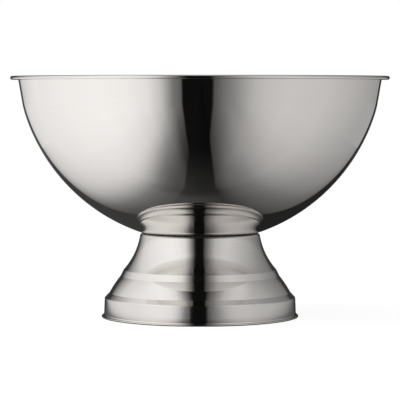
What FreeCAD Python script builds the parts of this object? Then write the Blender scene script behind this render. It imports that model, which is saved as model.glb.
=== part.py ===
import FreeCAD, Part
import math
import os

import Sketcher
from FreeCAD import Placement, Rotation, Vector

# Punch bowl: a spun bowl with a rolled rim, bolted down onto a spun pedestal foot.
# Millimetres, +Z up. The origin is the middle of the ring that the foot stands on,
# and every piece but the split washer and the nut is turned about Z.

SIZES = {
    # both spinnings
    "sheet_thickness": 0.8,
    # bowl: outside of the sphere, its flat spot and its nearly straight top
    "bowl_height": 255.0,
    "bowl_radius": 193.4,
    "bowl_centre": 272.8,
    "flat_radius": 32.0,
    "flat_bend": 8.0,
    "wall_bend_height": 222.0,
    "wall_bend": 100.0,
    "wall_top_radius": 192.1,
    # rolled rim
    "rim_radius": 200.0,
    "rim_depth": 4.0,
    "rim_neck_bend": 1.0,
    "rim_roll_bend": 1.1,
    "rim_gap": 0.9,
    # thin rubber ring between the bowl and the foot
    "gasket_thickness": 0.4,
    "gasket_inner_radius": 55.0,
    "gasket_outer_radius": 61.0,
    # foot, from the table up
    "base_radius": 104.4,
    "hem_depth": 2.0,
    "hem_bend": 0.95,
    "hem_inner_radius": 100.2,
    "skirt_radius": 101.9,
    "skirt_bend": 1.4,
    "shoulder_radius": 101.1,
    "shoulder_height": 20.6,
    "shoulder_bend": 2.0,
    "slope_radius": 96.1,
    "slope_height": 25.8,
    "slope_bend": 2.5,
    "slope_arc": 120.0,
    "crease_radius": 84.3,
    "crease_height": 43.5,
    "crease_bend": 2.5,
    "ridge_radius": 81.0,
    "ridge_height": 50.2,
    "ridge_bend": 2.0,
    "flare_arc": 72.0,
    "neck_radius": 63.2,
    "neck_bend": 3.0,
    "dish_bend": 8.0,
    "stud_hole_radius": 4.3,
    # plate and stud welded under the bowl
    "stud_plate_radius": 22.0,
    "stud_plate_thickness": 1.5,
    "stud_plate_gap": 0.2,
    "plate_chamfer": 0.4,
    "stud_radius": 4.0,
    "stud_length": 18.0,
    "stud_chamfer": 0.8,
    # pressed plate inside the foot
    "backing_radius": 28.0,
    "backing_thickness": 2.0,
    "backing_edge": 6.0,
    "backing_bend": 3.5,
    # washers and nut, all for an M8 stud
    "washer_radius": 12.0,
    "washer_bore_radius": 4.2,
    "washer_thickness": 2.0,
    "spring_radius": 7.4,
    "spring_bore_radius": 4.1,
    "spring_thickness": 2.0,
    "spring_slot": 1.2,
    "nut_width": 13.0,
    "nut_height": 6.5,
    "nut_bore_radius": 4.0,
    "nut_chamfer_radius": 6.2,
    "nut_chamfer": 0.8,
}

SLOT_ANGLE = 70.0
LEAST_CUT = 1.0
LEFT = 1
RIGHT = -1
START = 1
END = 2
MIDDLE = 3
ORIGIN = (-1, 1)

doc = FreeCAD.newDocument("punch_bowl")


class Size:
    """A length: the expression that drives it and the value it has now."""

    def __init__(self, text, value):
        self.text = text
        self.value = value

    def __add__(self, other):
        return Size(f"({self.text} + {other.text})", self.value + other.value)

    def __sub__(self, other):
        return Size(f"({self.text} - {other.text})", self.value - other.value)


def times(size, factor):
    return Size(f"({size.text} * {factor})", size.value * factor)


def other_leg(slant, leg):
    """The third side of a right triangle, from its longest side and one short side."""
    text = f"sqrt({slant.text} ^ 2 - {leg.text} ^ 2)"
    return Size(text, math.sqrt(slant.value ** 2 - leg.value ** 2))


def make_sheet():
    sheet = doc.addObject("Spreadsheet::Sheet", "Sizes")
    for row, (alias, value) in enumerate(SIZES.items(), start=1):
        sheet.set(f"A{row}", alias)
        sheet.set(f"B{row}", str(value))
        sheet.setAlias(f"B{row}", alias)
    doc.recompute()
    return {alias: Size(f"Sizes.{alias}", value) for alias, value in SIZES.items()}


size = make_sheet()
NOTHING = Size("0", 0.0)


# Sketch helpers

def constrain(sketch, kind, *places, to=None):
    """Add a constraint, and bind it to the Size it is to have."""
    if to is None:
        sketch.addConstraint(Sketcher.Constraint(kind, *places))
        return
    index = sketch.addConstraint(Sketcher.Constraint(kind, *places, to.value))
    sketch.setExpression(f"Constraints[{index}]", to.text)


def pin(sketch, geometry, end, across, up):
    """Fix a point of the sketch by its distances from the sketch's origin."""
    for kind, distance in (("DistanceX", across), ("DistanceY", up)):
        if distance.value == 0.0:
            axis = -2 if kind == "DistanceX" else -1
            constrain(sketch, "PointOnObject", geometry, end, axis)
        else:
            constrain(sketch, kind, *ORIGIN, geometry, end, to=distance)


def corner(across, up, bend=None, arc=None, centre=LEFT):
    """A corner of an outline. bend rounds it; arc is the radius of the run that leaves
    it, with its centre on the left or the right of the way the outline runs."""
    return {"across": across, "up": up, "bend": bend, "arc": arc, "centre": centre}


def point_of(spot):
    return Vector(spot["across"].value, spot["up"].value, 0)


def run_direction(start, stop, at_end):
    """The direction of the run from one corner to the next, at either of its ends."""
    chord = point_of(stop) - point_of(start)
    if start["arc"] is None:
        return chord.normalize()
    half_turn = math.asin(chord.Length / 2 / start["arc"].value) * start["centre"]
    turn = half_turn if at_end else -half_turn
    return Rotation(Vector(0, 0, 1), math.degrees(turn)).multVec(chord).normalize()


def signed_turn(before, after):
    return math.atan2(before.x * after.y - before.y * after.x, before.dot(after))


def bend_points(corners, index):
    """Where a corner's bend starts, its middle, and where it stops."""
    spot = corners[index]
    place = point_of(spot)
    if spot["bend"] is None:
        return place, place, place
    before = run_direction(corners[index - 1], spot, at_end=True)
    after = run_direction(spot, corners[index + 1], at_end=False)
    half_turn = abs(signed_turn(before, after)) / 2
    radius = spot["bend"].value
    setback = radius * math.tan(half_turn)
    inward = (after - before).normalize()
    middle = place + inward * (radius / math.cos(half_turn) - radius)
    return place - before * setback, middle, place + after * setback


def draw_arc(sketch, start, middle, stop):
    """Draw an arc and give back its number and its ends in the outline's own order."""
    number = sketch.addGeometry(Part.Arc(start, middle, stop), False)
    forwards = (sketch.getPoint(number, START) - start).Length < 1e-6
    return (number, START, END) if forwards else (number, END, START)


def draw_run(sketch, start, stop, arc, centre):
    if arc is None:
        return sketch.addGeometry(Part.LineSegment(start, stop), False), START, END
    chord = stop - start
    sideways = Vector(chord.y, -chord.x, 0).normalize() * centre
    rise = arc.value - math.sqrt(arc.value ** 2 - chord.Length ** 2 / 4)
    run = draw_arc(sketch, start, (start + stop) / 2 + sideways * rise, stop)
    constrain(sketch, "Radius", run[0], to=arc)
    return run


def draw_outline(sketch, corners):
    """Draw an open chain of runs with bent corners, held by its corner points."""
    bends = [bend_points(corners, index) for index in range(len(corners))]
    runs = []
    for index in range(len(corners) - 1):
        spot = corners[index]
        runs.append(draw_run(sketch, bends[index][2], bends[index + 1][0], spot["arc"], spot["centre"]))
    pin(sketch, runs[0][0], runs[0][1], corners[0]["across"], corners[0]["up"])
    pin(sketch, runs[-1][0], runs[-1][2], corners[-1]["across"], corners[-1]["up"])
    inner = range(1, len(corners) - 1)
    for index in inner:
        tip = sketch.addGeometry(Part.Point(point_of(corners[index])), True)
        pin(sketch, tip, START, corners[index]["across"], corners[index]["up"])
        constrain(sketch, "PointOnObject", tip, START, runs[index - 1][0])
        constrain(sketch, "PointOnObject", tip, START, runs[index][0])
    for index in inner:
        before, after = runs[index - 1], runs[index]
        bend = draw_arc(sketch, *bends[index])
        constrain(sketch, "Radius", bend[0], to=corners[index]["bend"])
        constrain(sketch, "Tangent", before[0], before[2], bend[0], bend[1])
        constrain(sketch, "Tangent", bend[0], bend[2], after[0], after[1])


def spun_sheet(label, thickness, corners):
    """Sheet metal turned about Z. The outline is the face on the right of the metal."""
    sketch = doc.addObject("Sketcher::SketchObject", f"{label}_outline")
    sketch.Placement = Placement(Vector(), Rotation(Vector(1, 0, 0), 90))
    draw_outline(sketch, corners)
    section = doc.addObject("Part::Offset2D", f"{label}_section")
    section.Source = sketch
    section.setExpression("Value", thickness.text)
    section.Mode = "Skin"
    section.Fill = True
    turned = doc.addObject("Part::Revolution", label)
    turned.Source = section
    turned.Axis = Vector(0, 0, 1)
    turned.Angle = 360
    turned.Solid = True
    doc.recompute()
    return turned


# PartDesign helpers

def new_body(label, height=NOTHING):
    body = doc.addObject("PartDesign::Body", label)
    body.setExpression("Placement.Base.z", height.text)
    return body


def body_sketch(body, name, plane):
    sketch = body.newObject("Sketcher::SketchObject", name)
    support = next(item for item in body.Origin.OriginFeatures if item.Role == plane)
    sketch.AttachmentSupport = (support, "")
    sketch.MapMode = "FlatFace"
    return sketch


def add_circle(sketch, radius):
    circle = sketch.addGeometry(Part.Circle(Vector(), Vector(0, 0, 1), radius.value), False)
    constrain(sketch, "Coincident", circle, MIDDLE, *ORIGIN)
    constrain(sketch, "Radius", circle, to=radius)


def add_polygon(sketch, corners):
    """A closed loop of straight lines through (across, up) corners."""
    points = [Vector(across.value, up.value, 0) for across, up in corners]
    lines = []
    for start, stop in zip(points, points[1:] + points[:1]):
        lines.append(sketch.addGeometry(Part.LineSegment(start, stop), False))
    for line, following, (across, up) in zip(lines, lines[1:] + lines[:1], corners[1:] + corners[:1]):
        constrain(sketch, "Coincident", line, END, following, START)
        pin(sketch, line, END, across, up)


def pad_down(body, sketch, length):
    """Make the sketch solid from its plane downwards."""
    pad = body.newObject("PartDesign::Pad", f"{body.Name}_pad")
    pad.Profile = sketch
    pad.setExpression("Length", length.text)
    pad.Reversed = True
    sketch.Visibility = False
    doc.recompute()
    return pad


def turn_profile(body, kind, sketch):
    """A PartDesign Revolution or Groove of the sketch about the body's Z axis."""
    feature = body.newObject(f"PartDesign::{kind}", f"{body.Name}_{kind.lower()}")
    feature.Profile = sketch
    feature.ReferenceAxis = (sketch, ["V_Axis"])
    feature.Angle = 360
    doc.recompute()
    return feature


def chamfer_round_edges(body, radius, chamfer, lowest=False):
    """Chamfer the circular edges of one radius, or only the lowest of them."""
    base = body.Tip
    edges = []
    for index, edge in enumerate(base.Shape.Edges, start=1):
        round_edge = isinstance(edge.Curve, Part.Circle) and len(edge.Vertexes) == 1
        if round_edge and abs(edge.Curve.Radius - radius.value) < 1e-6:
            edges.append((edge.Curve.Center.z, f"Edge{index}"))
    edges.sort()
    names = [name for _, name in (edges[:1] if lowest else edges)]
    feature = body.newObject("PartDesign::Chamfer", f"{body.Name}_chamfer")
    feature.Base = (base, names)
    feature.setExpression("Size", chamfer.text)
    doc.recompute()


def check_cut(body, volume_before):
    """A cut that points away from the solid takes nothing off it and raises nothing."""
    if body.Shape.Volume > volume_before - LEAST_CUT:
        raise RuntimeError(f"{body.Label}: the last cut missed the solid")


def ring_body(label, height, outer, bore, thickness):
    body = new_body(label, height)
    sketch = body_sketch(body, f"{label}_ring", "XY_Plane")
    add_circle(sketch, outer)
    if bore is not None:
        add_circle(sketch, bore)
    pad_down(body, sketch, thickness)
    return body


# Heights of the stack on the axis, from the bowl's flat spot down to the nut

flat_height = size["bowl_centre"] - other_leg(size["bowl_radius"], size["flat_radius"])
stud_height = flat_height - size["stud_plate_thickness"]
dish_height = stud_height - size["stud_plate_gap"]
backing_height = dish_height - size["sheet_thickness"]
washer_height = backing_height - size["backing_thickness"]
spring_height = washer_height - size["washer_thickness"]
nut_height = spring_height - size["spring_thickness"]

# The foot's top is dished to the same centre as the bowl, one gasket further out
dish_arc = size["bowl_radius"] + size["gasket_thickness"]


def make_bowl_shell():
    """Outside of the bowl from its centre to the neck of the rim, then the inside of
    the roll, which goes out, down and back to just short of the wall."""
    wall_bend_radius = other_leg(size["bowl_radius"], size["bowl_centre"] - size["wall_bend_height"])
    roll_top = size["bowl_height"] - size["sheet_thickness"]
    roll_bottom = size["bowl_height"] - size["rim_depth"] + size["sheet_thickness"]
    roll_tip = size["rim_radius"] - size["sheet_thickness"]
    return spun_sheet("bowl_shell", size["sheet_thickness"], [
        corner(NOTHING, flat_height),
        corner(size["flat_radius"], flat_height, size["flat_bend"], arc=size["bowl_radius"]),
        corner(wall_bend_radius, size["wall_bend_height"], size["wall_bend"]),
        corner(size["wall_top_radius"], roll_top, size["rim_neck_bend"]),
        corner(roll_tip, roll_top, size["rim_roll_bend"]),
        corner(roll_tip, roll_bottom, size["rim_roll_bend"]),
        corner(size["wall_top_radius"] + size["rim_gap"], roll_bottom),
    ])


def make_foot_shell():
    """Outside of the foot, from the inner edge of its flattened hem, round the hem,
    up the skirt and the flare, over the neck and down into the dish."""
    neck_height = size["bowl_centre"] - other_leg(dish_arc, size["neck_radius"])
    dish_radius = other_leg(dish_arc, size["bowl_centre"] - dish_height)
    return spun_sheet("foot_shell", size["sheet_thickness"], [
        corner(size["hem_inner_radius"], NOTHING),
        corner(size["base_radius"], NOTHING, size["hem_bend"]),
        corner(size["base_radius"], size["hem_depth"], size["hem_bend"]),
        corner(size["skirt_radius"], size["hem_depth"], size["skirt_bend"]),
        corner(size["shoulder_radius"], size["shoulder_height"], size["shoulder_bend"]),
        corner(size["slope_radius"], size["slope_height"], size["slope_bend"], arc=size["slope_arc"]),
        corner(size["crease_radius"], size["crease_height"], size["crease_bend"]),
        corner(size["ridge_radius"], size["ridge_height"], size["ridge_bend"],
               arc=size["flare_arc"], centre=RIGHT),
        corner(size["neck_radius"], neck_height, size["neck_bend"], arc=dish_arc, centre=RIGHT),
        corner(dish_radius, dish_height, size["dish_bend"]),
        corner(size["stud_hole_radius"], dish_height),
    ])


def make_seat_gasket():
    """A flat ring pressed to the shape of the gap between two concentric spheres."""
    body = new_body("seat_gasket")
    sketch = body_sketch(body, "gasket_section", "XZ_Plane")
    edges = (size["gasket_inner_radius"], size["gasket_outer_radius"])
    faces = []
    for arc in (size["bowl_radius"], dish_arc):
        ends = []
        for across in edges:
            height = size["bowl_centre"] - other_leg(arc, across)
            ends.append(Vector(across.value, height.value, 0))
        middle_across = (edges[0].value + edges[1].value) / 2
        middle_height = size["bowl_centre"].value - math.sqrt(arc.value ** 2 - middle_across ** 2)
        face = draw_arc(sketch, ends[0], Vector(middle_across, middle_height, 0), ends[1])
        constrain(sketch, "Radius", face[0], to=arc)
        pin(sketch, face[0], MIDDLE, NOTHING, size["bowl_centre"])
        for across, end in zip(edges, face[1:]):
            constrain(sketch, "DistanceX", *ORIGIN, face[0], end, to=across)
        faces.append((face, ends))
    for side in (0, 1):
        (top, top_ends), (bottom, bottom_ends) = faces
        wall = sketch.addGeometry(Part.LineSegment(top_ends[side], bottom_ends[side]), False)
        constrain(sketch, "Coincident", wall, START, top[0], top[1 + side])
        constrain(sketch, "Coincident", wall, END, bottom[0], bottom[1 + side])
    turn_profile(body, "Revolution", sketch)
    return body


def make_stud_plate():
    body = ring_body("stud_plate", flat_height, size["stud_plate_radius"], None,
                     size["stud_plate_thickness"])
    chamfer_round_edges(body, size["stud_plate_radius"], size["plate_chamfer"], lowest=True)
    return body


def make_weld_stud():
    body = ring_body("weld_stud", stud_height, size["stud_radius"], None, size["stud_length"])
    chamfer_round_edges(body, size["stud_radius"], size["stud_chamfer"], lowest=True)
    return body


def make_backing_plate():
    """A pressed plate with a turned-down edge under the dish of the foot."""
    edge_height = backing_height - size["backing_edge"]
    return spun_sheet("backing_plate", size["backing_thickness"], [
        corner(size["backing_radius"], edge_height),
        corner(size["backing_radius"], backing_height, size["backing_bend"]),
        corner(size["stud_hole_radius"], backing_height),
    ])


def make_flat_washer():
    return ring_body("flat_washer", washer_height, size["washer_radius"],
                     size["washer_bore_radius"], size["washer_thickness"])


def make_spring_washer():
    """A split washer pressed flat by the nut, with its slanting cut still open."""
    body = ring_body("spring_washer", spring_height, size["spring_radius"],
                     size["spring_bore_radius"], size["spring_thickness"])
    thickness = size["spring_thickness"]
    half_slot = times(size["spring_slot"], 0.5)
    lean = times(thickness, round(0.5 / math.tan(math.radians(SLOT_ANGLE)), 4))
    whole_volume = body.Shape.Volume
    sketch = body_sketch(body, "split", "YZ_Plane")
    low = times(thickness, -1)
    add_polygon(sketch, [
        (times(half_slot + lean, -1), low),
        (half_slot - lean, low),
        (half_slot + lean, NOTHING),
        (times(half_slot - lean, -1), NOTHING),
    ])
    cut = body.newObject("PartDesign::Pocket", "split_cut")
    cut.Profile = sketch
    cut.setExpression("Length", times(size["spring_radius"], 1.5).text)
    cut.Reversed = True
    doc.recompute()
    check_cut(body, whole_volume)
    return body


def make_hex_nut():
    """A hexagon nut with the corners of both faces turned off to a cone."""
    body = new_body("hex_nut", nut_height)
    sketch = body_sketch(body, "hexagon", "XY_Plane")
    corner_radius = times(size["nut_width"], round(1 / math.sqrt(3), 6))
    hexagon = []
    for index in range(6):
        angle = math.radians(60 * index)
        hexagon.append((times(corner_radius, round(math.cos(angle), 6)),
                        times(corner_radius, round(math.sin(angle), 6))))
    add_polygon(sketch, hexagon)
    add_circle(sketch, size["nut_bore_radius"])
    pad_down(body, sketch, size["nut_height"])
    whole_volume = body.Shape.Volume
    sketch = body_sketch(body, "corner_cuts", "XZ_Plane")
    outside = corner_radius + size["nut_chamfer"]
    low = times(size["nut_height"], -1)
    for face, inward in ((NOTHING, -1), (low, 1)):
        add_polygon(sketch, [
            (size["nut_chamfer_radius"], face),
            (outside, face),
            (outside, face + times(size["nut_chamfer"], inward)),
        ])
    turn_profile(body, "Groove", sketch)
    check_cut(body, whole_volume)
    return body


def check_document():
    for item in doc.Objects:
        if "Invalid" in item.State or "Error" in item.State:
            raise RuntimeError(f"{item.Label} is not up to date: {item.State}")


def main():
    pieces = [
        make_bowl_shell(),
        make_foot_shell(),
        make_seat_gasket(),
        make_stud_plate(),
        make_weld_stud(),
        make_backing_plate(),
        make_flat_washer(),
        make_spring_washer(),
        make_hex_nut(),
    ]
    doc.recompute()
    check_document()
    for piece in pieces:
        if piece.Shape.isNull() or not piece.Shape.isValid():
            raise RuntimeError(f"{piece.Label} has no sound shape")
    os.makedirs("parts", exist_ok=True)
    for piece in pieces:
        piece.Shape.exportStep(f"parts/{piece.Label}.step")
        box = piece.Shape.optimalBoundingBox()
        print(f"{piece.Label}: {piece.Shape.Volume:.0f} mm3, z {box.ZMin:.2f} to {box.ZMax:.2f}, "
              f"{len(piece.Shape.Solids)} solid")


main()
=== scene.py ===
import math

import bpy
from mathutils import Matrix, Vector


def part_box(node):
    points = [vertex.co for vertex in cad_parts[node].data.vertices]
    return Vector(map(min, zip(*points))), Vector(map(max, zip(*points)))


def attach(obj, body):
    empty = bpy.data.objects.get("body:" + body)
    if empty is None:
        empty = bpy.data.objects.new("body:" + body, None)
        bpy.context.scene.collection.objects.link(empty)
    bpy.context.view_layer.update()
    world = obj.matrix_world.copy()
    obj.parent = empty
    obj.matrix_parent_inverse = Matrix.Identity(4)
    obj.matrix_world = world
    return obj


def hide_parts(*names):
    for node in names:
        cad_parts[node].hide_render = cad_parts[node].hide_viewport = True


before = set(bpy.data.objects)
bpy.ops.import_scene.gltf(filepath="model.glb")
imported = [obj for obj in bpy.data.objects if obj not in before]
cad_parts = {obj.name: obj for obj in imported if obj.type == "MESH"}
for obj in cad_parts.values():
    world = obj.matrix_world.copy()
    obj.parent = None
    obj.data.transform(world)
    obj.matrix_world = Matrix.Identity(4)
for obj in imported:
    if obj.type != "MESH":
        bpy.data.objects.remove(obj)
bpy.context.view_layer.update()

# A polished steel punch bowl. It is spun, so nearly every piece is a section turned
# about Z. Sections are drawn in millimetres as (radius, height); the rest is in metres.

MM = 0.001


def high_corner(node):
    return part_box(node)[1] / MM


def low_corner(node):
    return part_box(node)[0] / MM


# Driving sizes: the overall ones from the frame, the spinnings' own below them

RIM_RADIUS = high_corner("bowl_shell").x
BOWL_HEIGHT = high_corner("bowl_shell").z
FLAT_HEIGHT = low_corner("bowl_shell").z
BASE_RADIUS = high_corner("foot_shell").x
GASKET_EDGE = high_corner("seat_gasket").x

SHEET = 0.8
GASKET = 0.4
STUD_HOLE = 4.3
BOWL_RADIUS = 193.4
BOWL_CENTRE = 272.8
DISH_ARC = BOWL_RADIUS + GASKET
DISH_HEIGHT = high_corner("backing_plate").z + SHEET


def sphere_height(radius, arc=BOWL_RADIUS):
    """How high the sphere of that arc, or the bowl's, is at a radius under its middle."""
    return BOWL_CENTRE - math.sqrt(arc ** 2 - radius ** 2)


def sphere_radius(height, arc=BOWL_RADIUS):
    return math.sqrt(arc ** 2 - (BOWL_CENTRE - height) ** 2)


# Sections: chains of straight and round runs with exactly tangent bends

# The side of a round run that its centre is on
LEFT = 1
RIGHT = -1

# The longest step along a run and the widest in a bend, and the steps of a rounded edge
STEP = 1.6
BEND_STEP = math.radians(11)
EDGE_ANGLES = (-60, -30, 0, 30, 60)
QUARTER_STEPS = 4
BEND_SEARCHES = 25


def turn_left(vector):
    return Vector((-vector.y, vector.x))


class Line:
    """A straight run. left() and off() give the way to its left and the distance."""

    def __init__(self, start, stop):
        self.start = start
        self.side = turn_left((stop - start).normalized())

    def left(self, point):
        return self.side

    def off(self, point):
        return self.side.dot(point - self.start)

    def spots(self, start, stop):
        count = max(1, math.ceil((stop - start).length / STEP))
        return [(start.lerp(stop, i / count), self.side) for i in range(count + 1)]


class Arc:
    """A round run whose centre is on its left or its right."""

    def __init__(self, centre, radius, hand):
        self.centre = centre
        self.radius = radius
        self.hand = hand

    def left(self, point):
        return (self.centre - point).normalized() * self.hand

    def off(self, point):
        return (self.radius - (point - self.centre).length) * self.hand

    def spots(self, start, stop):
        first, last = (math.atan2(*(end - self.centre).yx) for end in (start, stop))
        swing = (last - first) * self.hand % math.tau
        count = max(2, math.ceil(swing * self.radius / STEP), math.ceil(swing / BEND_STEP))
        spots = []
        for i in range(count + 1):
            angle = first + swing * i / count * self.hand
            spoke = Vector((math.cos(angle), math.sin(angle)))
            spots.append((self.centre + spoke * self.radius, -spoke * self.hand))
        return spots


def make_run(start, stop, radius, hand):
    if radius is None:
        return Line(start, stop)
    chord = stop - start
    rise = math.sqrt(radius ** 2 - chord.length_squared / 4)
    centre = (start + stop) / 2 + turn_left(chord.normalized()) * rise * hand
    return Arc(centre, radius, hand)


def make_bend(before, after, corner, radius):
    """The arc that rounds the corner of two runs, and the points where it meets them."""
    hand = LEFT if before.left(corner).cross(after.left(corner)) > 0 else RIGHT
    centre = corner + (before.left(corner) + after.left(corner)).normalized() * radius * hand
    for _ in range(BEND_SEARCHES):
        rows = Matrix((before.left(centre), after.left(centre)))
        short = Vector([radius * hand - run.off(centre) for run in (before, after)])
        centre += rows.inverted() @ short
    meets = [centre - run.left(centre) * run.off(centre) for run in (before, after)]
    return Arc(centre, radius, hand), meets[0], meets[1]


def corner(radius, height, bend=None, arc=None, centre=LEFT):
    """A corner of an outline: its bend, and the arc of the run that leaves it."""
    return {"at": Vector((radius, height)), "bend": bend, "arc": arc, "centre": centre}


def draw(corners):
    """An outline as a list of (point, way to its left)."""
    runs = [make_run(here["at"], there["at"], here["arc"], here["centre"])
            for here, there in zip(corners, corners[1:])]
    bends = [make_bend(runs[i - 1], runs[i], spot["at"], spot["bend"])
             for i, spot in enumerate(corners[:-1]) if i > 0]
    starts = [corners[0]["at"]] + [bend[2] for bend in bends]
    stops = [bend[1] for bend in bends] + [corners[-1]["at"]]
    outline = []
    for i, run in enumerate(runs):
        outline += run.spots(starts[i], stops[i])
        if i < len(bends):
            outline += bends[i][0].spots(bends[i][1], bends[i][2])[1:-1]
    return outline


def sheet_edge(spot, way_out, thickness):
    """The rounded edge of a sheet, from the outline's side to the other."""
    point, left = spot
    middle = point + left * thickness / 2
    edge = []
    for degrees in EDGE_ANGLES:
        angle = math.radians(degrees)
        out = way_out * math.cos(angle) + left * math.sin(angle)
        edge.append((middle + out * thickness / 2, out))
    return edge


def sheet_section(outline, thickness=SHEET):
    """Both faces of a sheet whose metal is on the left of the outline. Each spot of a
    section is (point, way out of the metal)."""
    section = [(point, -left) for point, left in outline]
    last = outline[-1]
    section += sheet_edge(last, Vector((last[1].y, -last[1].x)), thickness)
    section += [(point + left * thickness, left) for point, left in reversed(outline)]
    first = outline[0]
    if first[0].x > 0:
        section += reversed(sheet_edge(first, Vector((-first[1].y, first[1].x)), thickness))
    return section


def rounded_block(inner, outer, low, high, bend):
    """The section of a ring with rounded edges."""
    block = []
    centres = ((outer - bend, low + bend, -90), (outer - bend, high - bend, 0),
               (inner + bend, high - bend, 90), (inner + bend, low + bend, 180))
    for radius, height, first in centres:
        for i in range(QUARTER_STEPS + 1):
            angle = math.radians(first + 90 * i / QUARTER_STEPS)
            out = Vector((math.cos(angle), math.sin(angle)))
            block.append((Vector((radius, height)) + out * bend, out))
    return block


# Meshes

ON_AXIS = 1e-6


def add_mesh(name, points, faces):
    """A mesh object in the scene, from points in metres."""
    mesh = bpy.data.meshes.new(name)
    mesh.from_pydata(points, [], faces)
    added = bpy.data.objects.new(name, mesh)
    bpy.context.scene.collection.objects.link(added)
    return added


def new_piece(name, points, normals, faces):
    """A smooth piece from points in millimetres, with the normals of the true surface."""
    piece = add_mesh(name, [point * MM for point in points], faces)
    piece.data.shade_smooth()
    if normals:
        piece.data.normals_split_custom_set_from_vertices(normals)
    piece.data.validate()
    return piece


def around(radius, height, angle):
    return Vector((radius * math.cos(angle), radius * math.sin(angle), height))


def turned(name, section, segments):
    """Turn a section about Z. It is a loop, or starts and ends on the axis."""
    points, normals, rings = [], [], []
    for point, out in section:
        if point.x < ON_AXIS:
            rings.append([len(points)])
            points.append(Vector((0, 0, point.y)))
            normals.append(Vector((0, 0, math.copysign(1, out.y))))
            continue
        rings.append(range(len(points), len(points) + segments))
        for i in range(segments):
            angle = math.tau * i / segments
            points.append(around(point.x, point.y, angle))
            normals.append(around(out.x, out.y, angle))
    faces = []
    following = rings[1:]
    if section[0][0].x > ON_AXIS:
        following.append(rings[0])
    for low, high in zip(rings, following):
        for i in range(segments):
            j = (i + 1) % segments
            if len(low) == 1:
                faces.append((low[0], high[j], high[i]))
            elif len(high) == 1:
                faces.append((low[i], low[j], high[0]))
            else:
                faces.append((low[i], low[j], high[j], high[i]))
    return new_piece(name, points, normals, faces)


def make_bowl():
    """Outside of the bowl, neck of the rim, and the inside of its flattened roll."""
    flat_bend, wall_bend, neck_bend, roll_bend = 8.0, 100.0, 1.0, 1.1
    wall_bend_height = 222.0
    wall_top = 192.1
    rim_depth = 4.0
    roll_gap = 0.9
    tip = RIM_RADIUS - SHEET
    roll_top = BOWL_HEIGHT - SHEET
    roll_bottom = BOWL_HEIGHT - rim_depth + SHEET
    outline = draw([
        corner(0, FLAT_HEIGHT),
        corner(sphere_radius(FLAT_HEIGHT), FLAT_HEIGHT, flat_bend, arc=BOWL_RADIUS),
        corner(sphere_radius(wall_bend_height), wall_bend_height, wall_bend),
        corner(wall_top, roll_top, neck_bend),
        corner(tip, roll_top, roll_bend),
        corner(tip, roll_bottom, roll_bend),
        corner(wall_top + roll_gap, roll_bottom),
    ])
    return turned("bowl", sheet_section(outline), segments=320)


def make_foot():
    """Outside of the foot from its folded hem up to the neck and down into the dish."""
    hem_depth, hem_return = 2.0, 100.2
    skirt_bottom = 101.9
    skirt_top, skirt_height = 101.1, 20.6
    shoulder_top, shoulder_height = 96.1, 25.8
    band_top, band_height, band_arc = 84.3, 43.5, 120.0
    flare_foot, flare_height, flare_arc = 81.0, 50.2, 72.0
    neck_radius = 63.2
    hem_bend, skirt_bend, crease, soft_crease, neck_bend, dish_bend = 0.95, 1.4, 2.0, 2.5, 3.0, 8.0
    outline = draw([
        corner(hem_return, 0.0),
        corner(BASE_RADIUS, 0.0, hem_bend),
        corner(BASE_RADIUS, hem_depth, hem_bend),
        corner(skirt_bottom, hem_depth, skirt_bend),
        corner(skirt_top, skirt_height, crease),
        corner(shoulder_top, shoulder_height, soft_crease, arc=band_arc),
        corner(band_top, band_height, soft_crease),
        corner(flare_foot, flare_height, crease, arc=flare_arc, centre=RIGHT),
        corner(neck_radius, sphere_height(neck_radius, DISH_ARC), neck_bend, arc=DISH_ARC, centre=RIGHT),
        corner(sphere_radius(DISH_HEIGHT, DISH_ARC), DISH_HEIGHT, dish_bend),
        corner(STUD_HOLE, DISH_HEIGHT),
    ])
    return turned("foot", sheet_section(outline), segments=288)


def make_gasket():
    """A rubber ring between two concentric spheres, squeezed out a little at its edge. Its black seam
    line is partly painted shade.
    """
    hole, steps = 55.0, 6
    bulge, bulge_angles = 0.9, (-50, 0, 50)
    faces = []
    for arc, way in ((DISH_ARC, -1), (BOWL_RADIUS, 1)):
        face = []
        for i in range(steps + 1):
            radius = hole + (GASKET_EDGE - hole) * i / steps
            height = sphere_height(radius, arc)
            up = Vector((-radius, BOWL_CENTRE - height)).normalized()
            face.append((Vector((radius, height)), up * way))
        faces.append(face)
    under, over = faces
    bottom, top = under[-1][0], over[-1][0]
    middle = (bottom + top) / 2
    reach = math.hypot(GASKET, (top - bottom).length / 2) * bulge
    edge = []
    for degrees in bulge_angles:
        angle = math.radians(degrees)
        out = Vector((math.cos(angle), math.sin(angle)))
        edge.append((middle + out * reach, out))
    return turned("gasket", under + edge + over[::-1], segments=256)


def make_backing_plate():
    thickness, rim_bend = 2.0, 3.5
    low, high = low_corner("backing_plate"), high_corner("backing_plate")
    outline = draw([corner(high.x, low.z), corner(high.x, high.z, rim_bend), corner(STUD_HOLE, high.z)])
    return turned("backing_plate_pressed", sheet_section(outline, thickness), segments=128)


def make_flat_washer():
    hole, bend = 4.2, 0.25
    low, high = low_corner("flat_washer"), high_corner("flat_washer")
    return turned("washer", rounded_block(hole, high.x, low.z, high.z, bend), segments=96)


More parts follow.
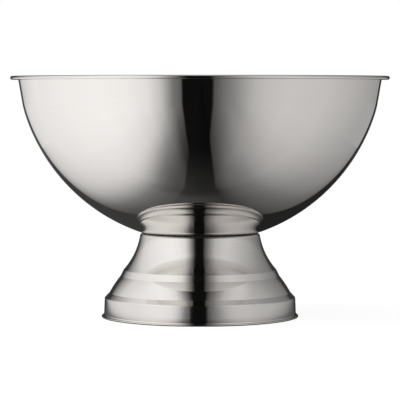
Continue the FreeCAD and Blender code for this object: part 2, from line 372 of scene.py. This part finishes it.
def make_spring_washer():
    """A ring of square wire with a slanting cut."""
    hole, bend = 4.1, 0.3
    steps, gap, slant = 72, 1.2, 0.55
    low, high = low_corner("spring_washer"), high_corner("spring_washer")
    section = rounded_block(hole, high.x, low.z, high.z, bend)
    middle = (low.z + high.z) / 2
    points = []
    for i in range(steps + 1):
        for point, _ in section:
            opening = (gap / 2 + (point.y - middle) * slant) / point.x
            closing = math.tau - (gap / 2 - (point.y - middle) * slant) / point.x
            angle = opening + (closing - opening) * i / steps
            points.append(around(point.x, point.y, angle - math.pi / 2))
    size = len(section)
    faces = [tuple(reversed(range(size))), tuple(range(steps * size, steps * size + size))]
    for i in range(steps):
        for k in range(size):
            here, there = i * size + k, i * size + (k + 1) % size
            faces.append((here, there, there + size, here + size))
    return new_piece("split_washer", points, None, faces)


def polar_grid(name, heights, radius_at, columns, bore=None):
    """A body whose outside is radius_at(angle, height), closed by flat ends. A bore runs
    right through it."""
    points, faces = [], []
    rows = [(None, height) for height in heights]
    if bore:
        rows = [(bore, heights[0])] + rows + [(bore, heights[-1])]
    for fixed, height in rows:
        for i in range(columns):
            angle = math.tau * i / columns
            points.append(around(fixed or radius_at(angle, height), height, angle))
    count = len(rows)
    for row in range(count if bore else count - 1):
        for i in range(columns):
            j = (i + 1) % columns
            low, high = row * columns, (row + 1) % count * columns
            faces.append((low + i, low + j, high + j, high + i))
    if not bore:
        faces.append(tuple(reversed(range(columns))))
        faces.append(tuple(range((count - 1) * columns, count * columns)))
    return new_piece(name, points, None, faces)


def make_nut():
    """A hexagon whose corners are turned off by a cone on both faces."""
    face_radius, slope, hole = 6.2, 1.75, 3.9
    cone_levels, cone_step = 9, 0.1
    sixth = math.pi / 3
    low, high = low_corner("hex_nut"), high_corner("hex_nut")

    def radius_at(angle, height):
        side = (angle + sixth / 2) % sixth - sixth / 2
        flat = high.y / math.cos(sixth / 2 - abs(side))
        inside = min(height - low.z, high.z - height)
        return min(flat, face_radius + inside * slope)

    levels = [low.z + cone_step * i for i in range(cone_levels)]
    levels += [low.z + high.z - level for level in reversed(levels)]
    return polar_grid("nut", levels, radius_at, columns=144, bore=hole)


def make_stud():
    """An M8 stud with a real thread that runs out under its welded root."""
    pitch, depth, crest, flank = 1.25, 0.65, 1.15, 2.6
    chamfer, plain, runout_length = 0.9, 2.0, 1.5
    levels = 150
    low, high = low_corner("weld_stud"), high_corner("weld_stud")
    heights = [low.z + (high.z - low.z) * i / levels for i in range(levels + 1)]

    def radius_at(angle, height):
        phase = (height / pitch - angle / math.tau) % 1
        groove = depth * min(1.0, max(0.0, crest - flank * abs(phase - 0.5)))
        runout = min(1.0, max(0.0, (high.z - plain - height) / runout_length))
        tip = high.x - max(0.0, chamfer - (height - low.z))
        return min(high.x - groove * runout, tip)

    return polar_grid("threaded_stud", heights, radius_at, columns=60)


# Materials

class Nodes:
    """Short calls that add nodes to a tree and give back an output socket."""

    def __init__(self, tree):
        self.tree = tree
        tree.nodes.clear()

    def add(self, kind, out=0, **inputs):
        node = self.tree.nodes.new(kind)
        for key, value in inputs.items():
            self.put(node.inputs[key.replace("_", " ")], value)
        return node.outputs[out]

    def put(self, socket, value):
        if isinstance(value, bpy.types.NodeSocket):
            self.tree.links.new(value, socket)
        else:
            socket.default_value = value

    def math(self, operation, *values):
        node = self.tree.nodes.new("ShaderNodeMath")
        node.operation = operation
        for socket, value in zip(node.inputs, values):
            self.put(socket, value)
        return node.outputs[0]

    def past(self, value, start):
        """How far a value is past a start, and 0 before it."""
        return self.math("MAXIMUM", self.math("SUBTRACT", value, start), 0.0)

    def split(self, vector):
        node = self.tree.nodes.new("ShaderNodeSeparateXYZ")
        self.put(node.inputs[0], vector)
        return node.outputs

    def fade(self, value, low, high, at_low, at_high, smooth=True):
        """value's range from low to high, eased into at_low to at_high."""
        node = self.tree.nodes.new("ShaderNodeMapRange")
        node.interpolation_type = "SMOOTHSTEP" if smooth else "LINEAR"
        for socket, setting in zip(node.inputs, (value, low, high, at_low, at_high)):
            self.put(socket, setting)
        return node.outputs[0]

    def ramp(self, value, stops):
        """Levels read off at a value, from stops whose last is the end of the scale."""
        node = self.tree.nodes.new("ShaderNodeValToRGB")
        span = stops[-1][0]
        elements = node.color_ramp.elements
        while len(elements) < len(stops):
            elements.new(0.5)
        for element, (position, level) in zip(elements, stops):
            element.position = position / span
            element.color = (level, level, level, 1)
        self.put(node.inputs[0], self.math("DIVIDE", value, span))
        return node.outputs[0]

    def blend(self, share, first, second):
        node = self.tree.nodes.new("ShaderNodeMix")
        for socket, setting in zip((node.inputs[0], node.inputs[2], node.inputs[3]),
                                   (share, first, second)):
            self.put(socket, setting)
        return node.outputs[0]

    def mix_surfaces(self, share, first, second):
        node = self.tree.nodes.new("ShaderNodeMixShader")
        for socket, setting in zip(node.inputs, (share, first, second)):
            self.put(socket, setting)
        return node.outputs[0]

    def finish(self, surface):
        """Make a surface the material's output."""
        output = self.tree.nodes.new("ShaderNodeOutputMaterial")
        self.put(output.inputs["Surface"], surface)


def new_material(name):
    """An empty material and the means to fill it."""
    material = bpy.data.materials.new(name)
    material.use_nodes = True
    return material, Nodes(material.node_tree)


def ring_vector(nodes, rise, lines, along):
    """Noise coordinates that run in fine rings about Z. rise says how the height adds
    to the radius along the section: 1 where they grow together, -1 where they don't."""
    x, y, z = nodes.split(nodes.add("ShaderNodeTexCoord", "Object"))
    radius = nodes.math("SQRT", nodes.math("ADD", nodes.math("MULTIPLY", x, x),
                                           nodes.math("MULTIPLY", y, y)))
    level = nodes.math("MULTIPLY_ADD", z, float(rise), radius)
    turn = nodes.tree.nodes.new("ShaderNodeVectorMath")
    turn.operation = "NORMALIZE"
    nodes.put(turn.inputs[0], nodes.add("ShaderNodeCombineXYZ", X=x, Y=y))
    spoke = nodes.split(turn.outputs[0])
    return nodes.add("ShaderNodeCombineXYZ",
                     X=nodes.math("MULTIPLY", spoke[0], along),
                     Y=nodes.math("MULTIPLY", spoke[1], along),
                     Z=nodes.math("MULTIPLY", level, lines))


def noise(nodes, vector, detail=2.0, scale=1.0, roughness=0.5):
    return nodes.add("ShaderNodeTexNoise", "Fac", Vector=vector, Scale=scale, Detail=detail,
                     Roughness=roughness)


def bump(nodes, height, depth, **under):
    """A normal roughened by a depth in millimetres, over another one where it is given."""
    return nodes.add("ShaderNodeBump", 0, Height=height, Distance=depth * MM, Strength=1.0, **under)


def tinted(nodes, colour, shade):
    """A colour made lighter or darker by a shade about 1."""
    node = nodes.tree.nodes.new("ShaderNodeVectorMath")
    node.operation = "SCALE"
    node.inputs[0].default_value = colour
    nodes.put(node.inputs["Scale"], shade)
    return node.outputs[0]


# Most of a noise's values lie between these
NOISE_LOW, NOISE_HIGH = 0.3, 0.7


def spun_steel(name, colour, rise, polish, lines, line_depth, wave_depth, shade_depth):
    """Polished sheet steel: rings from the polishing wheel, broad ripples from the
    spinning roller, cloudy wiping marks and a little dust of pits. lines is how many
    rings a metre has, and the depths of lines and waves are in millimetres."""
    line_run, ripples, ripple_run = 3.0, 190.0, 0.35
    cloud_scale, cloud_low = 22.0, 0.35
    pit_scale, pit_start, pit_full, pit_shade = 900.0, 0.74, 0.80, 0.18
    smoothest, dullest, line_dulling = polish * 0.85, polish * 1.2, polish * 0.35

    material, nodes = new_material(name)
    fine = noise(nodes, ring_vector(nodes, rise, lines, line_run), detail=3.0, roughness=0.6)
    broad = noise(nodes, ring_vector(nodes, rise, ripples, ripple_run), detail=1.0)
    place = nodes.add("ShaderNodeTexCoord", "Object")
    clouds = noise(nodes, place, detail=3.0, scale=cloud_scale)
    pits = nodes.fade(noise(nodes, place, detail=1.0, scale=pit_scale), pit_start, pit_full, 0.0, 1.0)
    streaks = nodes.fade(fine, NOISE_LOW, NOISE_HIGH, 1.0 - shade_depth, 1.0 + shade_depth, False)
    shade = nodes.math("SUBTRACT", streaks, nodes.math("MULTIPLY", pits, pit_shade))
    rough = nodes.math("ADD", nodes.fade(clouds, cloud_low, NOISE_HIGH, smoothest, dullest),
                       nodes.fade(fine, NOISE_LOW, NOISE_HIGH, 0.0, line_dulling, False))
    normal = bump(nodes, fine, line_depth, Normal=bump(nodes, broad, wave_depth))
    nodes.finish(nodes.add("ShaderNodeBsdfPrincipled", 0, Metallic=1.0, Roughness=rough, Normal=normal,
                           Base_Color=tinted(nodes, colour, shade)))
    return material


def plain_steel(name, colour, roughness):
    """Mill-finish steel of the hidden hardware, with a fine grain and faint stains."""
    grain_scale, grain_depth, stain_scale = 1400.0, 0.01, 90.0
    darkest, lightest = 0.88, 1.06
    smoothest, dullest = roughness * 0.8, roughness * 1.25

    material, nodes = new_material(name)
    place = nodes.add("ShaderNodeTexCoord", "Object")
    grain = noise(nodes, place, detail=4.0, scale=grain_scale)
    stains = noise(nodes, place, detail=3.0, scale=stain_scale)
    shade = nodes.fade(stains, NOISE_LOW, NOISE_HIGH, darkest, lightest, False)
    rough = nodes.fade(grain, NOISE_LOW, NOISE_HIGH, smoothest, dullest, False)
    nodes.finish(nodes.add("ShaderNodeBsdfPrincipled", 0, Metallic=1.0, Roughness=rough,
                           Normal=bump(nodes, grain, grain_depth),
                           Base_Color=tinted(nodes, colour, shade)))
    return material


# Black rubber for the seat gasket. Where it shows as the black line between bowl and foot, its black is
# partly painted shade of that seam.
def black_rubber_and_seam_shade(name):
    colour, roughness = (0.012, 0.012, 0.012), 0.6
    grain_scale, grain_depth = 2200.0, 0.02
    darkest, lightest = 0.8, 1.2

    material, nodes = new_material(name)
    grain = noise(nodes, nodes.add("ShaderNodeTexCoord", "Object"), detail=4.0, scale=grain_scale)
    shade = nodes.fade(grain, NOISE_LOW, NOISE_HIGH, darkest, lightest, False)
    nodes.finish(nodes.add("ShaderNodeBsdfPrincipled", 0, Roughness=roughness,
                           Normal=bump(nodes, grain, grain_depth),
                           Base_Color=tinted(nodes, colour, shade)))
    return material


# Stage, light and camera

STAGE_RADIUS = 9.0
STAGE_SIDES = 96
WHITE = (1, 1, 1, 1)


def add_stage(name, points, faces, material):
    """A piece of the stage, which only the camera sees."""
    piece = add_mesh(name, points, faces)
    piece.data.materials.append(material)
    piece.visible_glossy = False
    piece.visible_diffuse = False
    piece.visible_shadow = False


def white_stage():
    """A pale floor in the middle of a pale round room. The floor is clear from below, so
    that the underside can be looked at."""
    floor_grey, floor_glow = 0.36, 0.86
    floor_paint, nodes = new_material("pale_stage")
    lit = nodes.tree.nodes.new("ShaderNodeAddShader")
    nodes.put(lit.inputs[0], nodes.add("ShaderNodeBsdfDiffuse", 0, Color=(floor_grey,) * 3 + (1,)))
    nodes.put(lit.inputs[1], nodes.add("ShaderNodeEmission", 0, Color=WHITE, Strength=floor_glow))
    from_below = nodes.add("ShaderNodeNewGeometry", "Backfacing")
    nodes.finish(nodes.mix_surfaces(from_below, lit.outputs[0],
                                    nodes.add("ShaderNodeBsdfTransparent", 0)))
    wall_paint, nodes = new_material("pale_wall")
    nodes.finish(nodes.add("ShaderNodeEmission", 0, Color=WHITE, Strength=1.0))

    ring = [around(STAGE_RADIUS, 0, math.tau * i / STAGE_SIDES) for i in range(STAGE_SIDES)]
    add_stage("floor", ring, [tuple(range(STAGE_SIDES))], floor_paint)
    up = Vector((0, 0, STAGE_RADIUS))
    deep_and_tall = [point - up for point in ring] + [point + up for point in ring]
    faces = []
    for i in range(STAGE_SIDES):
        j = (i + 1) % STAGE_SIDES
        faces.append((i, j, STAGE_SIDES + j, STAGE_SIDES + i))
    faces += [tuple(range(STAGE_SIDES)), tuple(range(STAGE_SIDES, 2 * STAGE_SIDES))]
    add_stage("wall", deep_and_tall, faces, wall_paint)


# How bright the panels look in steel, by the angle in degrees from the front. Below the
# horizon they run on down behind the table, above it they end sooner at the back.
LEFT_BELOW = ((11.3, 0.004), (12.1, 0.10), (17, 0.17), (21, 0.33), (26, 0.55), (35, 0.74),
              (50, 0.83), (70, 0.86), (98, 0.835), (131, 0.755), (149, 0.66), (159.4, 0.53),
              (160.6, 0.05), (167, 0.07), (173, 0.12), (180, 0.2))
RIGHT_BELOW = ((8.2, 0.004), (9.0, 0.07), (18, 0.18), (27, 0.31), (36, 0.44), (45, 0.50),
               (60, 0.54), (88, 0.51), (115, 0.42), (135, 0.35), (159.4, 0.31), (160.6, 0.01),
               (164, 0.02), (169, 0.06), (173, 0.11), (180, 0.2))
LEFT_ABOVE = ((8, 0.004), (11, 0.04), (17, 0.22), (24, 0.50), (30, 0.69), (41, 0.79),
              (58, 0.835), (90, 0.78), (107, 0.72), (126, 0.61), (141, 0.34), (150, 0.15),
              (156, 0.03), (180, 0.05))
RIGHT_ABOVE = ((6, 0.004), (9, 0.06), (15, 0.15), (22, 0.27), (30, 0.42), (43, 0.51),
               (55, 0.53), (68, 0.49), (87, 0.41), (106, 0.335), (123, 0.25), (141, 0.18),
               (150, 0.13), (156, 0.03), (180, 0.05))
STEEL_SHINE = 0.72
OVERHEAD = 0.55


def studio_light():
    """Two tall panels, one on each side, with a dark gap between them at the front for
    the camera and another behind the bowl. Their tops lean together over the table. All
    angles are in degrees, and heights are above the horizon."""
    widening = 0.00078
    lean_start, lean_end, leaning_share = 42.0, 66.0, 0.35
    lean_front, lean_back = 80.0, 110.0
    horizon = (-3.0, 1.5)
    dim_rise, dim_fall, dim_front, dim_side, dimming = (-8.0, -2.0), (6.0, 14.0), 15.0, 90.0, 0.17
    overhead_start, overhead_full = 66.0, 80.0

    world = bpy.data.worlds.new("studio")
    bpy.context.scene.world = world
    world.use_nodes = True
    nodes = Nodes(world.node_tree)
    x, y, z = nodes.split(nodes.add("ShaderNodeTexCoord", "Generated"))
    to_front = nodes.math("MULTIPLY", y, -1.0)
    azimuth = nodes.math("DEGREES", nodes.math("ARCTAN2", nodes.math("ABSOLUTE", x), to_front))
    height = nodes.math("DEGREES", nodes.math("ARCSINE", z))
    on_right = nodes.math("GREATER_THAN", x, 0.0)

    depth = nodes.math("MAXIMUM", nodes.math("MULTIPLY", height, -1.0), 0.0)
    spread = nodes.math("MULTIPLY", azimuth, nodes.math("MULTIPLY_ADD", depth, widening, 1.0))
    lean = nodes.fade(height, lean_start, lean_end, 1.0, leaning_share, smooth=False)
    lean = nodes.blend(nodes.fade(azimuth, lean_front, lean_back, 0.0, 1.0), lean, 1.0)
    leaning = nodes.math("MULTIPLY", azimuth, lean)
    below = nodes.blend(on_right, nodes.ramp(spread, LEFT_BELOW), nodes.ramp(spread, RIGHT_BELOW))
    above = nodes.blend(on_right, nodes.ramp(leaning, LEFT_ABOVE), nodes.ramp(leaning, RIGHT_ABOVE))
    panels = nodes.blend(nodes.fade(height, *horizon, 0.0, 1.0), below, above)

    at_horizon = nodes.math("SUBTRACT", nodes.fade(height, *dim_rise, 0.0, 1.0),
                            nodes.fade(height, *dim_fall, 0.0, 1.0))
    dim = nodes.math("MULTIPLY", at_horizon, nodes.fade(azimuth, dim_front, dim_side, 0.0, dimming))
    panels = nodes.math("MULTIPLY", panels, nodes.math("SUBTRACT", 1.0, dim))
    overhead = nodes.fade(height, overhead_start, overhead_full, 0.0, 1.0)
    glow = nodes.math("DIVIDE", nodes.blend(overhead, panels, OVERHEAD), STEEL_SHINE)
    output = nodes.tree.nodes.new("ShaderNodeOutputWorld")
    nodes.put(output.inputs["Surface"], nodes.add("ShaderNodeBackground", 0, Color=WHITE, Strength=glow))


# How much of the panels' light the table still shows, by the distance in metres from
# the line under the camera, where a narrow dark strip runs
LEFT_TABLE = ((0, 0.0), (0.031, 0.004), (0.035, 0.03), (0.05, 0.042), (0.07, 0.08), (0.09, 0.165),
              (0.108, 0.32), (0.133, 0.55), (0.154, 0.69), (0.175, 0.78), (0.22, 0.87), (0.3, 0.96),
              (0.45, 1.0))
RIGHT_TABLE = ((0, 0.0), (0.031, 0.004), (0.04, 0.05), (0.05, 0.09), (0.06, 0.14), (0.075, 0.20),
               (0.098, 0.285), (0.115, 0.37), (0.14, 0.53), (0.16, 0.63), (0.18, 0.71), (0.22, 0.82),
               (0.3, 0.94), (0.45, 1.0))
# How much more of it shows beside the strip, by the distance in front of the bowl's middle
LEFT_FRONT = ((0.14, 0.0), (0.2, 0.03), (0.25, 0.09), (0.32, 0.25), (0.41, 0.46), (0.52, 0.7),
              (0.65, 0.88), (0.85, 1.0))
RIGHT_FRONT = ((0.14, 0.0), (0.2, 0.08), (0.25, 0.24), (0.32, 0.43), (0.41, 0.63), (0.52, 0.8),
               (0.65, 0.92), (0.85, 1.0))
# How bright the table itself is, by the distance behind GLOW_START
GLOW_START = -0.3
TABLE_GLOW = ((0, 0.005), (0.04, 0.0075), (0.076, 0.012), (0.11, 0.018), (0.145, 0.023),
              (0.165, 0.028), (0.185, 0.058), (0.23, 0.058), (0.28, 0.04), (0.36, 0.0325), (1.2, 0.0325))


def table_shade():
    """The dimness of the table around the bowl. Only reflections show it: it lets the
    light from below through less, the nearer it is to the middle. The dim patch narrows
    towards the back, and fades out in front of the bowl on both sides of the strip."""
    half_width, half_depth, drop = 0.5, 0.9, 0.001
    narrowing_start, narrowing = -0.15, 0.36
    strip, strip_edge = 0.03, 0.006
    widening_start, widening = 0.3, 0.22
    left_edge, left_least = (0.07, 0.13), 0.1
    right_edge, right_least = (0.1, 0.19), 0.15
    across_glow, left_glow, right_glow = (-0.1, 0.1), 1.45, 0.55

    corners = [Vector((side * half_width, end * half_depth, -drop))
               for side, end in ((-1, -1), (1, -1), (1, 1), (-1, 1))]
    card = add_mesh("table_shade", corners, [(0, 1, 2, 3)])
    material, nodes = new_material("table_shade")
    x, y, _ = nodes.split(nodes.add("ShaderNodeTexCoord", "Object"))
    aside = nodes.math("ABSOLUTE", x)
    front = nodes.math("MULTIPLY", y, -1.0)
    on_right = nodes.math("GREATER_THAN", x, 0.0)

    narrower = nodes.math("MULTIPLY", nodes.past(y, narrowing_start), narrowing)
    across = nodes.past(aside, narrower)
    light = nodes.blend(on_right, nodes.ramp(across, LEFT_TABLE), nodes.ramp(across, RIGHT_TABLE))

    wider = nodes.math("MULTIPLY", nodes.past(front, widening_start), widening)
    edge = nodes.math("SUBTRACT", aside, wider)
    left_front = nodes.math("MULTIPLY", nodes.ramp(front, LEFT_FRONT),
                            nodes.fade(edge, *left_edge, 1.0, left_least))
    right_front = nodes.math("MULTIPLY", nodes.ramp(front, RIGHT_FRONT),
                             nodes.fade(edge, *right_edge, 1.0, right_least))
    beside = nodes.fade(aside, strip, strip + strip_edge, 0.0, 1.0)
    more = nodes.math("MULTIPLY", nodes.blend(on_right, left_front, right_front), beside)
    shut = nodes.math("MULTIPLY", nodes.math("SUBTRACT", 1.0, light), nodes.math("SUBTRACT", 1.0, more))

    glow = nodes.math("MULTIPLY", nodes.ramp(nodes.past(y, GLOW_START), TABLE_GLOW),
                      nodes.fade(x, *across_glow, left_glow, right_glow))
    nodes.finish(nodes.mix_surfaces(nodes.math("SUBTRACT", 1.0, shut),
                                    nodes.add("ShaderNodeEmission", 0, Strength=glow),
                                    nodes.add("ShaderNodeBsdfTransparent", 0)))
    card.data.materials.append(material)
    card.visible_camera = False
    card.visible_diffuse = False
    card.visible_shadow = False


def make_camera():
    """At the eye height and distance that show the rim nearly edge on."""
    distance = 2.316
    eye_height = 0.241
    aim_height = 0.12377
    focal_length = 196.83
    data = bpy.data.cameras.new("camera")
    data.sensor_width = 36.0
    data.lens = focal_length
    data.clip_end = 100.0
    camera = bpy.data.objects.new("camera", data)
    camera.location = (0, -distance, eye_height)
    camera.rotation_mode = "QUATERNION"
    look = Vector((0, distance, aim_height - eye_height))
    camera.rotation_quaternion = look.to_track_quat("-Z", "Y")
    bpy.context.scene.collection.objects.link(camera)
    bpy.context.scene.camera = camera


# The object

STEEL = (0.745, 0.719, 0.696)
PLATE_STEEL = (0.58, 0.57, 0.56)
FASTENER_STEEL = (0.66, 0.65, 0.64)

bowl_steel = spun_steel("bowl_steel", STEEL, rise=1, polish=0.03, lines=900.0, line_depth=0.0012,
                        wave_depth=0.004, shade_depth=0.012)
foot_steel = spun_steel("foot_steel", STEEL, rise=-1, polish=0.035, lines=1100.0, line_depth=0.0025,
                        wave_depth=0.008, shade_depth=0.03)
plate_steel = plain_steel("plate_steel", PLATE_STEEL, roughness=0.32)
fastener_steel = plain_steel("fastener_steel", FASTENER_STEEL, roughness=0.2)
# The gasket's black is partly painted shade of the seam between bowl and foot.
rubber = black_rubber_and_seam_shade("gasket_rubber")

pieces = (
    (make_bowl(), "bowl_shell", "bowl_steel", bowl_steel),
    (make_foot(), "foot_shell", "foot_steel", foot_steel),
    (make_gasket(), "seat_gasket", "gasket_rubber", rubber),
    (make_backing_plate(), "backing_plate", "plate_steel", plate_steel),
    (make_stud(), "weld_stud", "fastener_steel", fastener_steel),
    (make_flat_washer(), "flat_washer", "fastener_steel", fastener_steel),
    (make_spring_washer(), "spring_washer", "fastener_steel", fastener_steel),
    (make_nut(), "hex_nut", "fastener_steel", fastener_steel),
)
for piece, node, slot, material in pieces:
    piece.data.materials.append(material)
    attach(piece, "root")
    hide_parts(node)

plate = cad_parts["stud_plate"]
for holder in plate.material_slots:
    holder.material = plate_steel

white_stage()
table_shade()
studio_light()
make_camera()
bpy.context.scene.view_settings.view_transform = "Standard"
